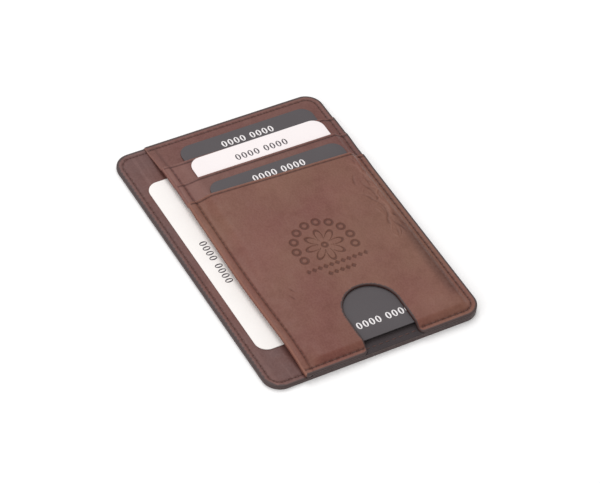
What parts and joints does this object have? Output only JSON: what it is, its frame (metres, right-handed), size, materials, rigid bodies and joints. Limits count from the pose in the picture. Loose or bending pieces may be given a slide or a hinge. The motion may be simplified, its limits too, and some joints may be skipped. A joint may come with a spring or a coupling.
{
  "type": "minimalist wallet",
  "caption": "Slim leather card wallet with stepped card slots, a thumb notch and a side-opening centre pocket; the cards slide out.",
  "frame": {"origin": "centre of the back face, which the wallet rests on", "axes": "+X to the right and +Y towards the card mouths as seen from the front, +Z out of the front face"},
  "size_m": [0.0834, 0.119, 0.0064],
  "materials": {
    "outer_leather": "waxed pull-up leather, semi-matt, mottled brown",
    "liner_leather": "smooth brown leather, semi-matt",
    "divider_leather": "smooth brown leather, semi-matt",
    "dark_lining": "dark close-woven lining",
    "pocket_fabric": "thin dark brown pocket fabric",
    "interlining": "thin non-woven stiffener",
    "thread": "waxed polyester thread",
    "dark_card": "uncoated slate-grey card with a pale printed line",
    "white_card": "uncoated white card with a dark printed line"
  },
  "bodies": {
    "wallet": {"back_panel": "outer_leather", "back_interlining": "interlining", "pocket_liner": "liner_leather", "divider_panel": "divider_leather", "divider_lining": "dark_lining", "slot_1_strip": "outer_leather", "slot_1_lining": "pocket_fabric", "slot_2_strip": "outer_leather", "slot_2_lining": "pocket_fabric", "front_panel": "outer_leather", "perimeter_thread": "thread", "perimeter_bobbin_thread": "thread", "side_edge_thread": "thread", "slot_1_foot_thread": "thread", "slot_2_foot_thread": "thread"},
    "slot_1_card": {"card_slot_1": "dark_card"},
    "slot_2_card": {"card_slot_2": "white_card"},
    "slot_3_card": {"card_slot_3": "dark_card"},
    "pocket_card": {"card_centre_pocket": "white_card"}
  },
  "joints": [
    {"name": "slot_1_card_slide", "type": "slide", "parent": "wallet", "child": "slot_1_card", "axis": [0, 1, 0], "range_m": [0, 0.081]},
    {"name": "slot_2_card_slide", "type": "slide", "parent": "wallet", "child": "slot_2_card", "axis": [0, 1, 0.0097], "range_m": [0, 0.079]},
    {"name": "slot_3_card_slide", "type": "slide", "parent": "wallet", "child": "slot_3_card", "axis": [0, 0.9998, 0.0196], "range_m": [0, 0.083]},
    {"name": "pocket_card_slide", "type": "slide", "parent": "wallet", "child": "pocket_card", "axis": [-1, 0, 0], "range_m": [0, 0.048]}
  ]
}
